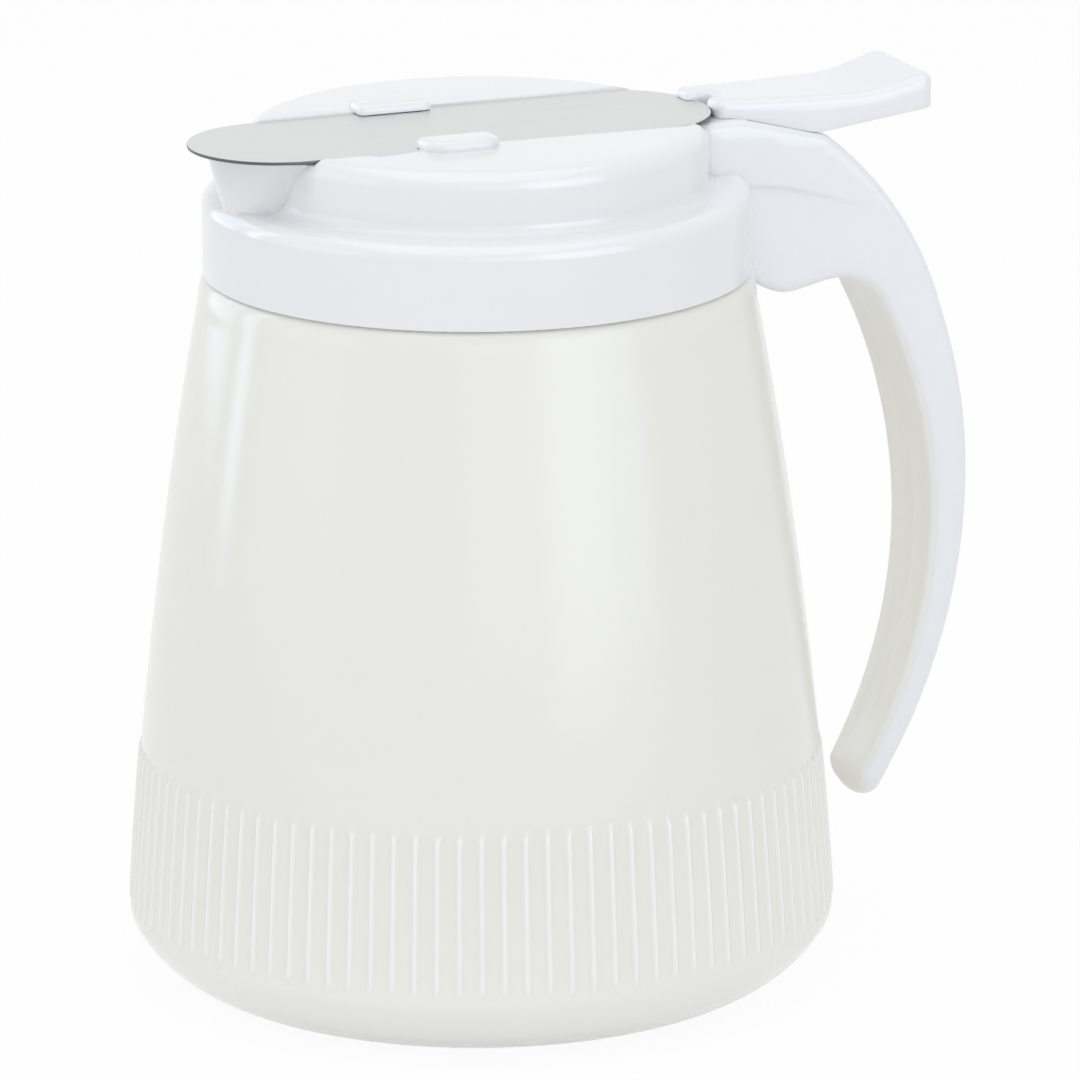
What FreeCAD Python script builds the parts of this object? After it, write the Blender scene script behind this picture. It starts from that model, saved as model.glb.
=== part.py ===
import FreeCAD, Part
import math
import os
import Sketcher

# Syrup dispenser: a ribbed jar, a screw lid with a spout, a handle clipped to the lid, and a steel
# slide that a thumb lever draws back over the spout. Millimetres. The origin is the centre of the
# jar's foot, +Z is up, the spout points to -X and the handle to +X.

# ---- driving dimensions -------------------------------------------------------------------------
SIZES = {
    # jar
    "FootRadius": 51.5, "BaseRadius": 68.5, "HeelHeight": 13.0, "HeelArc": 24.4, "HeelRound": 4.0,
    "SideArc": 1019.0, "ShoulderRadius": 53.8, "ShoulderHeight": 134.2, "ShoulderArc": 5.6,
    "NeckRadius": 48.7, "NeckWall": 2.5, "JarWall": 2.2, "JarFloor": 2.4,
    # ribs around the jar's base
    "RibCount": 100, "RibWidth": 1.2, "RibProud": 0.35, "RibRoot": 0.6, "RibLow": 15.4, "RibHigh": 46.4,
    # lid
    "LidRadius": 52.7, "LidGap": 0.3, "LidWall": 2.5, "LedgeThick": 2.5, "LedgeRound": 3.0,
    "TierRadius": 44.4, "TierWall": 2.4, "TierFillet": 2.2, "TierRound": 3.5, "PlateThick": 2.6,
    # spout
    "SpoutLipRadius": 17.0, "SpoutLipSetback": 37.0, "SpoutFootRadius": 7.7, "SpoutFootSetback": 43.4,
    "SpoutWall": 1.8, "SpoutFloor": 1.5,
    # guide tabs over the slide
    "TabStart": 18.0, "TabLength": 14.4, "TabWidth": 8.0, "TabLap": 2.9, "TabThick": 1.5, "TabRound": 1.1,
    "TabCorner": 2.4,
    # slide
    "SlideWidth": 34.8, "SlideThick": 0.7, "SlideNose": 57.9, "SlideTailCorner": 38.0,
    "SlideTailEase": 2.45, "SlideSink": 0.3, "RunGap": 0.3,
    # handle
    "HandleHalf": 11.5, "HandleEndHalf": 7.5, "JarGap": 0.9, "SeatGap": 0.1, "TowerFront": 44.0,
    "TowerLength": 7.5, "RampRun": 1.7, "RampDrop": 2.0, "SaddleEnd": 67.5, "BackArcX": 93.0,
    "BackHighArc": 70.0, "EndBackX": 82.2, "EndMidX": 80.2, "GripX": 81.1, "GripFootX": 77.9,
    "BackLowArc": 114.4, "EndFrontArc": 3.2, "EndBackArc": 2.2, "GripArc": 98.3, "ArmpitArc": 14.0,
    "ArmpitX": 72.5, "LobeX": 61.0, "LobeArc": 12.0, "LobeRise": 4.6, "HandleRound": 2.0,
    "GripRound": 1.1, "TowerRound": 2.5, "CreaseTilt": 12.7, "CreaseDepth": 0.6, "CreaseEnd": 77.0,
    "CreaseDrop": 30.0, "FluteArc": 67.6, "FluteWidth": 11.0, "FluteRib": 1.4,
    # thumb lever
    "LeverFront": 44.5, "LeverFrontHalf": 8.0, "LeverEnd": 90.4, "LeverEndHalf": 13.4, "PadStart": 73.0,
    "PadArc": 40.0, "LeverGap": 0.3, "TailGap": 0.3031, "NotchWidth": 5.2, "NotchDepth": 4.6,
    "LeverCorner": 3.0, "LeverRound": 2.0,
}

# heights of the lid, the handle and the lever over the jar's shoulder, which carries them
OVER_SHOULDER = {
    "LedgeHeight": 22.3, "PlateHeight": 34.5,
    "TowerHeight": 32.5, "SaddleHeight": 28.6, "CreaseHeight": 30.7, "BackArcZ": -8.0,
    "EndBackZ": -104.1, "EndHeight": -105.9, "GripZ": -7.6, "GripFootZ": -102.6, "ArmpitZ": -0.8,
    "LobeZ": -2.8, "TaperHeight": -29.2, "FluteLow": -90.2, "FluteHigh": -38.2,
    "LeverHeight": 36.0, "PadTop": 38.8, "LeverEndLow": 32.3,
}

class Size:
    """A length known both as a number and as the expression that gives it from the sheet."""

    def __init__(self, value, text):
        self.value = value
        self.text = text

    def _with(self, other, sign, value):
        return Size(value, f"({self.text} {sign} {other.text})")

    def __add__(self, other):
        other = size(other)
        return self._with(other, "+", self.value + other.value)

    def __radd__(self, other):
        return size(other) + self

    def __sub__(self, other):
        other = size(other)
        return self._with(other, "-", self.value - other.value)

    def __rsub__(self, other):
        return size(other) - self

    def __mul__(self, other):
        other = size(other)
        return self._with(other, "*", self.value * other.value)

    def __truediv__(self, other):
        other = size(other)
        return self._with(other, "/", self.value / other.value)

    def __neg__(self):
        return Size(-self.value, f"(0 - {self.text})")

    def root(self):
        return Size(math.sqrt(self.value), f"sqrt({self.text})")


def size(value):
    """A Size from an alias, a number or a Size. Heights over the shoulder start from it."""
    if isinstance(value, Size):
        return value
    if not isinstance(value, str):
        return Size(float(value), repr(float(value)))
    if value in OVER_SHOULDER:
        return size("ShoulderHeight") + Size(float(OVER_SHOULDER[value]), f"Sizes.{value}")
    return Size(float(SIZES[value]), f"Sizes.{value}")


# ---- document helpers ---------------------------------------------------------------------------
doc = FreeCAD.newDocument("SyrupDispenser")


def make_sheet():
    sheet = doc.addObject("Spreadsheet::Sheet", "Sizes")
    rows = {**SIZES, **OVER_SHOULDER}
    for row, (alias, value) in enumerate(rows.items(), start=1):
        sheet.set(f"A{row}", alias)
        sheet.set(f"B{row}", str(value))
        sheet.setAlias(f"B{row}", alias)
    doc.recompute()


def make_body(label):
    body = doc.addObject("PartDesign::Body", label + "_body")
    body.Label = label
    body.Placement = FreeCAD.Placement()
    return body


def origin_part(body, role):
    return next(part for part in body.Origin.OriginFeatures if part.Role == role)


def make_sketch(body, name, plane="XZ_Plane", level=0.0):
    """A sketch on one of the body's origin planes, lifted off it by a level."""
    sketch = body.newObject("Sketcher::SketchObject", name)
    sketch.AttachmentSupport = (origin_part(body, plane), [""])
    sketch.MapMode = "FlatFace"
    level = size(level)
    sketch.setExpression("AttachmentOffset.Base.z", level.text)
    return sketch


def bind(sketch, kind, places, value):
    index = sketch.addConstraint(Sketcher.Constraint(kind, *places, value.value))
    sketch.setExpression(f"Constraints[{index}]", value.text)


def fix_point(sketch, place, x, y):
    """Dimension one vertex from the sketch's origin."""
    for kind, axis, value in (("DistanceX", -2, size(x)), ("DistanceY", -1, size(y))):
        if abs(value.value) < 1e-9:
            sketch.addConstraint(Sketcher.Constraint("PointOnObject", *place, axis))
        elif value.value > 0:
            bind(sketch, kind, (-1, 1, *place), value)
        else:
            bind(sketch, kind, (*place, -1, 1), -value)


def arc_centre(start, end, radius):
    """Centre of the short arc from start to end; a positive radius bulges to the right of travel."""
    run_x = size(end[0]) - size(start[0])
    run_y = size(end[1]) - size(start[1])
    radius = size(radius)
    chord = run_x * run_x + run_y * run_y
    reach = (radius * radius / chord - 0.25).root()
    if radius.value < 0:
        reach = -reach
    middle_x = (size(start[0]) + size(end[0])) / 2
    middle_y = (size(start[1]) + size(end[1])) / 2
    return middle_x - run_y * reach, middle_y + run_x * reach


def draw_outline(sketch, path):
    """Draw a closed outline: each entry is x, y and the radius of the arc to the next (None: a line)."""
    count = len(path)
    ends = []
    for index, (x, y, radius) in enumerate(path):
        next_x, next_y, _ = path[(index + 1) % count]
        start = FreeCAD.Vector(size(x).value, size(y).value, 0)
        end = FreeCAD.Vector(size(next_x).value, size(next_y).value, 0)
        if radius is None:
            geometry = sketch.addGeometry(Part.LineSegment(start, end), False)
            ends.append((geometry, 1, 2))
            continue
        radius = size(radius)
        centre_x, centre_y = arc_centre((x, y), (next_x, next_y), radius)
        centre = FreeCAD.Vector(centre_x.value, centre_y.value, 0)
        first, last = (start, end) if radius.value > 0 else (end, start)
        turn = [math.atan2(point.y - centre.y, point.x - centre.x) for point in (first, last)]
        if turn[1] < turn[0]:
            turn[1] += 2 * math.pi
        circle = Part.Circle(centre, FreeCAD.Vector(0, 0, 1), abs(radius.value))
        geometry = sketch.addGeometry(Part.ArcOfCircle(circle, *turn), False)
        ends.append((geometry, 1, 2) if radius.value > 0 else (geometry, 2, 1))
    for index, (x, y, _) in enumerate(path):
        geometry, begin, _ = ends[index]
        before, _, finish = ends[index - 1]
        sketch.addConstraint(Sketcher.Constraint("Coincident", before, finish, geometry, begin))
        fix_point(sketch, (geometry, begin), x, y)
    for (geometry, _, _), (_, _, radius) in zip(ends, path):
        if radius is not None:
            radius = size(radius)
            bind(sketch, "Radius", (geometry,), radius if radius.value > 0 else -radius)


def draw_circle(sketch, x, radius):
    """Draw a circle whose centre lies on the sketch's X axis."""
    x = size(x)
    radius = size(radius)
    circle = Part.Circle(FreeCAD.Vector(x.value, 0, 0), FreeCAD.Vector(0, 0, 1), radius.value)
    geometry = sketch.addGeometry(circle, False)
    bind(sketch, "Radius", (geometry,), radius)
    fix_point(sketch, (geometry, 3), x, 0)


def rectangle(left, low, right, high):
    return [(left, low, None), (right, low, None), (right, high, None), (left, high, None)]


def spin(body, kind, name, sketch):
    """Turn a sketch a full turn about the body's Z axis, adding (Revolution) or cutting (Groove)."""
    feature = body.newObject("PartDesign::" + kind, name)
    feature.Profile = sketch
    feature.ReferenceAxis = (sketch, ["V_Axis"])
    feature.Angle = 360
    doc.recompute()
    return feature


def extrude(body, kind, name, sketch, length, symmetric=False, reverse=False):
    """Pad or pocket a sketch by a bound length."""
    feature = body.newObject("PartDesign::" + kind, name)
    feature.Profile = sketch
    feature.Type = "Length"
    feature.SideType = "Symmetric" if symmetric else "One side"
    feature.Reversed = reverse
    feature.setExpression("Length", size(length).text)
    doc.recompute()
    return feature


def loft(body, kind, name, low, high):
    feature = body.newObject("PartDesign::" + kind, name)
    feature.Profile = low
    feature.Sections = [high]
    feature.Ruled = True
    doc.recompute()
    return feature


def mirror(body, name, originals, plane="XZ_Plane"):
    feature = body.newObject("PartDesign::Mirrored", name)
    feature.Originals = originals
    feature.MirrorPlane = (origin_part(body, plane), [""])
    body.Tip = feature
    doc.recompute()
    return feature


def round_edges(body, name, base, radius, wanted):
    """Fillet every edge of the base feature that the test accepts."""
    names = [f"Edge{number}" for number, edge in enumerate(base.Shape.Edges, start=1) if wanted(edge)]
    if not names:
        raise RuntimeError(f"{name}: no edge to round")
    feature = body.newObject("PartDesign::Fillet", name)
    feature.Base = (base, names)
    feature.setExpression("Radius", size(radius).text)
    doc.recompute()
    return feature


def must_cut(before, after):
    """Stop if a cut removed nothing."""
    if after.Shape.Volume > before.Shape.Volume - 0.01:
        raise RuntimeError(f"{after.Name} cut nothing")


def edge_box(edge):
    return edge.BoundBox


# ---- sizes that follow from the driving ones ----------------------------------------------------
collar_low = size("LidGap") + "ShoulderHeight" + (size("ShoulderArc") + 0.3)
ledge_under = size("LedgeHeight") - "LedgeThick"
plate_under = size("PlateHeight") - "PlateThick"
slide_top = size("PlateHeight") - "SlideSink"
slide_under = slide_top - "SlideThick"
channel_floor = slide_under - "RunGap"
slide_half = size("SlideWidth") / 2
slide_tail_arc = slide_half + "SlideTailEase"
slide_tail_reach = (slide_tail_arc * slide_tail_arc - slide_half * slide_half).root()
slide_tail = size("SlideTailCorner") + slide_tail_arc - slide_tail_reach
shoulder_top = collar_low - "LidGap"


# ---- jar ----------------------------------------------------------------------------------------
def make_jar():
    """A milky plastic jar: rounded heel, slightly bulging tapered side, round shoulder, plain neck."""
    body = make_body("jar")
    wall = size("JarWall")
    side_low = (size("BaseRadius"), size("HeelHeight"))
    side_high = (size("ShoulderRadius"), size("ShoulderHeight"))
    neck_inner = size("NeckRadius") - "NeckWall"
    profile = make_sketch(body, "JarProfile")
    draw_outline(profile, [
        (0, 0, None),
        ("FootRadius", 0, "HeelArc"),
        (*side_low, "SideArc"),
        (*side_high, "ShoulderArc"),
        ("NeckRadius", shoulder_top, None),
        ("NeckRadius", ledge_under, None),
        (neck_inner, ledge_under, None),
        (neck_inner, shoulder_top - wall, -(size("ShoulderArc"))),
        (side_high[0] - wall, side_high[1], -size("SideArc")),
        (side_low[0] - wall, side_low[1], -(size("HeelArc") - wall)),
        (size("FootRadius"), "JarFloor", None),
        (0, "JarFloor", None),
    ])
    shell = spin(body, "Revolution", "JarShell", profile)
    heel = size("BaseRadius").value
    rounded = round_edges(
        body, "HeelRounding", shell, "HeelRound",
        lambda edge: abs(edge_box(edge).XMax - heel) < 0.01 and edge_box(edge).ZLength < 0.01)

    # one rib, repeated around the jar
    centre_x, centre_z = arc_centre(side_low, side_high, "SideArc")

    def side_radius(height):
        drop = size(height) - centre_z
        return centre_x + (size("SideArc") * "SideArc" - drop * drop).root()

    low, high = side_radius("RibLow"), side_radius("RibHigh")
    rib = make_sketch(body, "RibProfile")
    draw_outline(rib, [
        (low - "RibRoot", "RibLow", None),
        (low + "RibProud", "RibLow", size("SideArc")),
        (high + "RibProud", "RibHigh", None),
        (high - "RibRoot", "RibHigh", None),
    ])
    first = extrude(body, "Pad", "Rib", rib, "RibWidth", symmetric=True)
    ring = body.newObject("PartDesign::PolarPattern", "RibRing")
    ring.Originals = [first]
    ring.Axis = (profile, ["V_Axis"])
    ring.Angle = 360
    ring.setExpression("Occurrences", "Sizes.RibCount")
    body.Tip = ring
    doc.recompute()
    return body


# ---- lid ----------------------------------------------------------------------------------------
def lid_outside(collar_end, spare=0.0):
    """The lid's outer profile, grown by a spare, from the collar's lower edge up to the top plate."""
    radius, tier = size("LidRadius") + spare, size("TierRadius") + spare
    ledge, plate = size("LedgeHeight") + spare, size("PlateHeight") + spare
    ledge_round, tier_round = size("LedgeRound") + spare, size("TierRound") + spare
    fillet = size("TierFillet") - spare
    return [
        (radius, collar_end, None),
        (radius, ledge - ledge_round, ledge_round),
        (radius - ledge_round, ledge, None),
        (tier + fillet, ledge, -fillet),
        (tier, ledge + fillet, None),
        (tier, plate - tier_round, tier_round),
        (tier - tier_round, plate, None),
    ]


def make_lid():
    """A screw lid: collar, ledge and raised tier with a spout, a channel and two guide tabs."""
    body = make_body("lid")
    outside = make_sketch(body, "LidProfile")
    draw_outline(outside, [(0, collar_low, None)] + lid_outside(collar_low) + [(0, "PlateHeight", None)])
    spin(body, "Revolution", "LidBlank", outside)

    foot_level = size("LedgeHeight") - "SpoutWall"
    foot = make_sketch(body, "SpoutFoot", "XY_Plane", foot_level)
    draw_circle(foot, -size("SpoutFootSetback"), "SpoutFootRadius")
    lip = make_sketch(body, "SpoutLip", "XY_Plane", channel_floor)
    draw_circle(lip, -size("SpoutLipSetback"), "SpoutLipRadius")
    spout = loft(body, "AdditiveLoft", "Spout", foot, lip)

    skirt_inner = size("LidRadius") - "LidWall"
    tier_inner = size("TierRadius") - "TierWall"
    inside = make_sketch(body, "LidHollowProfile")
    draw_outline(inside, [
        (0, collar_low - 1, None),
        (skirt_inner, collar_low - 1, None),
        (skirt_inner, ledge_under, None),
        (tier_inner, ledge_under, None),
        (tier_inner, plate_under, None),
        (0, plate_under, None),
    ])
    hollow = spin(body, "Groove", "LidHollow", inside)
    must_cut(spout, hollow)

    funnel_level = size("LedgeHeight") + "SpoutFloor"
    funnel_foot = make_sketch(body, "FunnelFoot", "XY_Plane", funnel_level)
    draw_circle(funnel_foot, -size("SpoutFootSetback"), size("SpoutFootRadius") - "SpoutWall")
    funnel_lip = make_sketch(body, "FunnelLip", "XY_Plane", channel_floor + 0.01)
    draw_circle(funnel_lip, -size("SpoutLipSetback"), size("SpoutLipRadius") - "SpoutWall")
    funnel = loft(body, "SubtractiveLoft", "Funnel", funnel_foot, funnel_lip)
    must_cut(hollow, funnel)

    channel_half = slide_half + "RunGap"
    channel = make_sketch(body, "ChannelOutline", "XY_Plane", channel_floor)
    draw_outline(channel, rectangle(
        -(size("SlideNose") + 2), -channel_half, size("LidRadius") + 2, channel_half))
    cut = extrude(body, "Pocket", "Channel", channel, size("PlateThick") * 2, reverse=True)
    must_cut(funnel, cut)

    tab_inner = slide_half - "TabLap"
    tab = make_sketch(body, "TabOutline", "XY_Plane", size("PlateHeight"))
    draw_outline(tab, rectangle(
        -size("TabStart"), tab_inner, size("TabLength") - "TabStart", tab_inner + "TabWidth"))
    pad = extrude(body, "Pad", "Tab", tab, "TabThick")
    pair = mirror(body, "TabPair", [pad])
    foot, top = size("PlateHeight").value, (size("PlateHeight") + "TabThick").value
    pair = round_edges(
        body, "TabCorners", pair, "TabCorner",
        lambda edge: edge_box(edge).ZMin > foot - 0.01 and edge_box(edge).ZLength > 1)
    round_edges(body, "TabRounding", pair, "TabRound", lambda edge: edge_box(edge).ZMin > top - 0.01)
    return body


# ---- handle -------------------------------------------------------------------------------------
def make_handle():
    """A curved one-legged handle whose root clips to the collar and the tier, under the lever."""
    body = make_body("handle")
    ramp_x = size("TowerFront") + "TowerLength"
    profile = make_sketch(body, "HandleProfile")
    draw_outline(profile, [
        ("TowerFront", size("LobeZ") + size("LobeRise") * 2, None),
        (size("LobeX") - "LobeArc", size("LobeZ") + "LobeRise", "LobeArc"),
        ("LobeX", "LobeZ", None),
        ("ArmpitX", "ArmpitZ", -size("ArmpitArc")),
        ("GripX", "GripZ", -size("GripArc")),
        ("GripFootX", "GripFootZ", "EndFrontArc"),
        ("EndMidX", "EndHeight", "EndBackArc"),
        ("EndBackX", "EndBackZ", "BackLowArc"),
        ("BackArcX", "BackArcZ", "BackHighArc"),
        ("SaddleEnd", "SaddleHeight", None),
        (ramp_x + "RampRun", size("TowerHeight") - "RampDrop", None),
        (ramp_x, "TowerHeight", None),
        ("TowerFront", "TowerHeight", None),
    ])
    blank = extrude(body, "Pad", "HandleBlank", profile, size("HandleHalf") * 2, symmetric=True)

    side = make_sketch(body, "TaperOutline", "YZ_Plane")
    wide = size("HandleHalf") + 5
    low = size("EndHeight") - 5
    draw_outline(side, [
        ("HandleHalf", "TaperHeight", None),
        ("HandleEndHalf", "EndHeight", None),
        ("HandleEndHalf", low, None),
        (wide, low, None),
        (wide, "TaperHeight", None),
    ])
    taper = extrude(body, "Pocket", "Taper", side, size("BackArcX") * 3, symmetric=True)
    must_cut(blank, taper)
    tapered = mirror(body, "TaperPair", [taper])

    flute_top = grip_point("FluteHigh")
    flute_bottom = grip_point("FluteLow")
    flute = make_sketch(body, "FluteProfile")
    draw_outline(flute, [(*flute_bottom, "FluteArc"), (*flute_top, None)])
    recess = extrude(body, "Pocket", "Flutes", flute, "FluteWidth", symmetric=True)
    must_cut(tapered, recess)
    web = make_sketch(body, "FluteRibProfile")
    draw_outline(web, [(*flute_bottom, "FluteArc"), (*flute_top, -size("GripArc"))])
    ribbed = extrude(body, "Pad", "FluteRib", web, "FluteRib", symmetric=True)

    # thin wedge that leaves the root's upper block proud of the part below the crease
    wedge = make_sketch(body, "CreaseOutline", "XY_Plane", "CreaseHeight")
    tilt = "create(<<rotation>>; create(<<vector>>; 0; 1; 0); Sizes.CreaseTilt)"
    wedge.setExpression("AttachmentOffset.Rotation", tilt)
    draw_outline(wedge, [
        ("TowerFront", size("HandleHalf") - "CreaseDepth", None),
        ("CreaseEnd", "HandleHalf", None),
        ("CreaseEnd", size("HandleHalf") + 1, None),
        ("TowerFront", size("HandleHalf") + 1, None),
    ])
    crease = extrude(body, "Pocket", "Crease", wedge, "CreaseDrop")
    must_cut(ribbed, crease)
    creased = mirror(body, "CreasePair", [crease])

    front = size("TowerFront").value
    tower = round_edges(
        body, "TowerRounding", creased, "TowerRound",
        lambda edge: abs(edge_box(edge).XMax - front) < 0.01 and edge_box(edge).ZLength > 5
        and edge_box(edge).ZMax > size("TowerHeight").value - 0.01)

    def is_side_rim(edge, low_x, high_x):
        box = edge_box(edge)
        at_side = max(-box.YMin, box.YMax) > size("HandleEndHalf").value - 0.01 and box.YLength < 6
        return at_side and edge.Length > 20 and box.XMin > low_x - 0.01 and low_x < box.XMax < high_x

    outer_from = size("SaddleEnd").value
    inner_from = size("GripFootX").value
    inner_to = size("BackArcX").value - 0.1
    tower = round_edges(
        body, "BackRounding", tower, "HandleRound",
        lambda edge: is_side_rim(edge, outer_from, 200) and not is_side_rim(edge, inner_from, inner_to))
    tower = round_edges(
        body, "GripRounding", tower, "GripRound", lambda edge: is_side_rim(edge, inner_from, inner_to))

    # clear the lid and the jar's shoulder
    clear_radius = size("ShoulderRadius") + "JarGap"
    room = make_sketch(body, "LidRoomProfile")
    above = size("PlateHeight") + 5
    below = size("LobeZ") - 10
    draw_outline(room, [
        (0, below, None), (clear_radius, below, None), (clear_radius, collar_low, None),
        *lid_outside(collar_low, "SeatGap"),
        (size("TierRadius") - "TierRound", above, None), (0, above, None),
    ])
    cleared = spin(body, "Groove", "LidRoom", room)
    must_cut(tower, cleared)
    return body


def grip_point(height):
    """The point of the handle's grip face at a height, as x and z."""
    centre_x, centre_z = arc_centre(("GripX", "GripZ"), ("GripFootX", "GripFootZ"), -size("GripArc"))
    rise = size(height) - centre_z
    return centre_x + (size("GripArc") * "GripArc" - rise * rise).root(), size(height)


# ---- slide --------------------------------------------------------------------------------------
def make_slide():
    """The flat steel slide that covers the spout: a strip with a half-round nose and a curved tail."""
    body = make_body("slide")
    outline = make_sketch(body, "SlideOutline", "XY_Plane", slide_under)
    nose_x = slide_half - "SlideNose"
    draw_outline(outline, [
        (nose_x, -slide_half, None),
        ("SlideTailCorner", -slide_half, slide_tail_arc),
        ("SlideTailCorner", slide_half, None),
        (nose_x, slide_half, slide_half + 0.001),
    ])
    extrude(body, "Pad", "SlideStrip", outline, "SlideThick")
    return body


# ---- thumb lever --------------------------------------------------------------------------------
def make_lever():
    """The thumb lever: forked front on the slide's tail, flared body, upturned thumb pad."""
    body = make_body("thumb_lever")
    plan = make_sketch(body, "LeverPlan", "XY_Plane", size("SaddleHeight") - 3)
    notch = size("NotchWidth") / 2
    root = size("LeverFront") + "NotchDepth"
    draw_outline(plan, [
        ("LeverFront", -size("LeverFrontHalf"), None),
        ("LeverEnd", -size("LeverEndHalf"), None),
        ("LeverEnd", "LeverEndHalf", None),
        ("LeverFront", "LeverFrontHalf", None),
        ("LeverFront", notch, None),
        (root, notch, None),
        (root, -notch, None),
        ("LeverFront", -notch, None),
    ])
    blank = extrude(body, "Pad", "LeverBlank", plan, size("PadTop") - "SaddleHeight" + 6)

    wide = size("LeverEndHalf") * 3
    far = size("LeverEnd") + 5
    near = size("LeverFront") - 5
    over = make_sketch(body, "LeverTopProfile")
    draw_outline(over, [
        (near, "LeverHeight", None),
        ("PadStart", "LeverHeight", "PadArc"),
        ("LeverEnd", "PadTop", None),
        (far, "PadTop", None),
        (far, size("PadTop") + 9, None),
        (near, size("PadTop") + 9, None),
    ])
    topped = extrude(body, "Pocket", "LeverTop", over, wide, symmetric=True)
    must_cut(blank, topped)

    lap_end = slide_tail + "TailGap"
    ramp_x = size("TowerFront") + "TowerLength"
    under = make_sketch(body, "LeverUnderProfile")
    low = size("SaddleHeight") - 9
    draw_outline(under, [
        (near, low, None),
        (far, low, None),
        (far, "LeverEndLow", None),
        ("LeverEnd", "LeverEndLow", None),
        ("SaddleEnd", size("SaddleHeight") + "LeverGap", None),
        (ramp_x + "RampRun", size("TowerHeight") - "RampDrop" + "LeverGap", None),
        (ramp_x + "LeverGap", size("TowerHeight") + "LeverGap", None),
        (lap_end, size("TowerHeight") + "LeverGap", None),
        (lap_end, slide_top, None),
        (near, slide_top, None),
    ])
    shaped = extrude(body, "Pocket", "LeverUnder", under, wide, symmetric=True)
    must_cut(topped, shaped)

    end = size("LeverEnd").value
    corners = round_edges(
        body, "LeverCorners", shaped, "LeverCorner",
        lambda edge: abs(edge_box(edge).XMin - end) < 0.01 and edge_box(edge).ZLength > 3)
    top = size("LeverHeight").value
    side = size("LeverFrontHalf").value - 1

    def is_top_rim(edge):
        box = edge_box(edge)
        at_side = abs(box.Center.y) > side and box.XLength > 0.01
        return box.ZMin > top - 0.2 and (at_side or box.XMin > end - 0.01)

    round_edges(body, "LeverRounding", corners, "LeverRound", is_top_rim)
    return body


# ---- build and write ----------------------------------------------------------------------------
make_sheet()
bodies = [make_jar(), make_lid(), make_handle(), make_slide(), make_lever()]
doc.recompute()

faults = [item.Name for item in doc.Objects if "Invalid" in item.State or "Error" in item.State]
if faults:
    raise RuntimeError("failed objects: " + ", ".join(faults))
for body in bodies:
    if body.Shape.isNull() or not body.Shape.isValid() or len(body.Shape.Solids) != 1:
        raise RuntimeError(f"{body.Label} is not one valid solid")

os.makedirs("parts", exist_ok=True)
for body in bodies:
    body.Shape.exportStep(os.path.join("parts", body.Label + ".step"))
    print(body.Label, round(body.Shape.Volume), "cubic millimetres")
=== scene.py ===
import math

import bmesh
import bpy
import numpy as np
from mathutils import Matrix, Vector
from mathutils.geometry import delaunay_2d_cdt


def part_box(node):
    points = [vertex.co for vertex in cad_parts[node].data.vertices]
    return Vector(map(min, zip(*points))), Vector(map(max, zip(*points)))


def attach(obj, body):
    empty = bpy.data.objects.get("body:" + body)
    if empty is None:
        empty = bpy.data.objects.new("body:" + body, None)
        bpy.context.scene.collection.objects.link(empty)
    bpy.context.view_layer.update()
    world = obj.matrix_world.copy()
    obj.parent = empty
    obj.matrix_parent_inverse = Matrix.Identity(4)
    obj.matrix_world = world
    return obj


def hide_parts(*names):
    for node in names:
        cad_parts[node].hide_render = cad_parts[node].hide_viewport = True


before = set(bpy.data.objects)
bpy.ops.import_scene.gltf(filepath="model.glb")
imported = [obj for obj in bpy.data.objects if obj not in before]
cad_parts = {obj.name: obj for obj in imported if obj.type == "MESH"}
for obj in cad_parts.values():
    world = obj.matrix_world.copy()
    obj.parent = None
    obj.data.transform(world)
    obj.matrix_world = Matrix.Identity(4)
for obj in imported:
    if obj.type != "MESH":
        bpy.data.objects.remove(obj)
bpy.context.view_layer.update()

bl_info = {
    "name": "Syrup Dispenser",
    "version": (1, 0, 0),
    "blender": (4, 5, 0),
    "location": "View3D > Sidebar > Syrup",
    "description": "Builds the looks of a syrup dispenser around its packed frame",
    "category": "Object",
}

MM = 0.001
WELD = 2e-6  # points closer than this, in metres, are made one
WHITE = (1.0, 1.0, 1.0, 1.0)
JAR_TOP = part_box("jar")[1].z


# ---- nodes --------------------------------------------------------------------------------------
MIX_FACTOR, MIX_FIRST, MIX_SECOND, MIX_RESULT = 0, 6, 7, 2  # the colour sockets of a Mix node


class Value:
    """What comes out of a node's socket; arithmetic on a number adds Math nodes."""

    def __init__(self, tree, socket):
        self.tree = tree
        self.socket = socket

    def _math(self, operation, first, second):
        return self.tree.node(
            "ShaderNodeMath", {"operation": operation}, {0: first, 1: second})["Value"]

    def __add__(self, other):
        return self._math("ADD", self, other)

    def __radd__(self, other):
        return self._math("ADD", other, self)

    def __sub__(self, other):
        return self._math("SUBTRACT", self, other)

    def __rsub__(self, other):
        return self._math("SUBTRACT", other, self)

    def __mul__(self, other):
        return self._math("MULTIPLY", self, other)

    def __rmul__(self, other):
        return self._math("MULTIPLY", other, self)

    def __truediv__(self, other):
        return self._math("DIVIDE", self, other)

    def __rtruediv__(self, other):
        return self._math("DIVIDE", other, self)

    def at_least(self, other):
        return self._math("MAXIMUM", self, other)

    def ramp(self, low, high):
        """0 below low, 1 above high, smooth between."""
        node = self.tree.node(
            "ShaderNodeMapRange", {"interpolation_type": "SMOOTHSTEP"},
            {"Value": self, "From Min": low, "From Max": high})
        return node["Result"]


class Outputs:
    """The outputs of a new node, by name, as Values."""

    def __init__(self, tree, node):
        self.tree = tree
        self.node = node

    def __getitem__(self, name):
        return Value(self.tree, self.node.outputs[name])


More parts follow.
